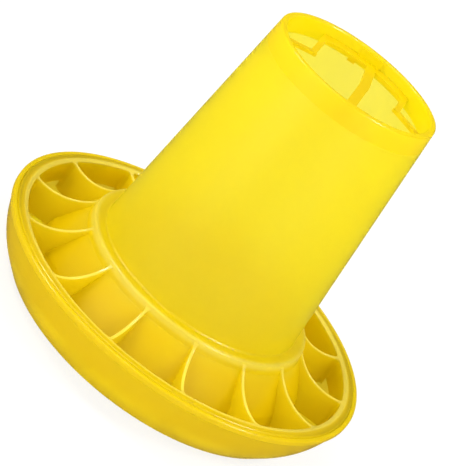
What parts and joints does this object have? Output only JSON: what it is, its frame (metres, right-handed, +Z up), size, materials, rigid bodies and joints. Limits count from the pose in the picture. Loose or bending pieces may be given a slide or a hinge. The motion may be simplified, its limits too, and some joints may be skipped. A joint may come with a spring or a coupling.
{
  "type": "poultry feeder",
  "caption": "Round gravity feeder for chicks: a conical hopper over a tray, with a moulded ring of curved dividers that keeps the birds out of the feed.",
  "frame": {"origin": "middle of the flat foot the feeder stands on", "axes": "+Z up along the hopper's axis, -Y towards the side that shows the near rim of the mouth"},
  "size_m": [0.21, 0.21, 0.176],
  "materials": {
    "yellow_plastic": "translucent injection-moulded yellow plastic, glossy"
  },
  "bodies": {
    "root": {"hopper": "yellow_plastic", "feed_tray": "yellow_plastic"}
  },
  "joints": []
}
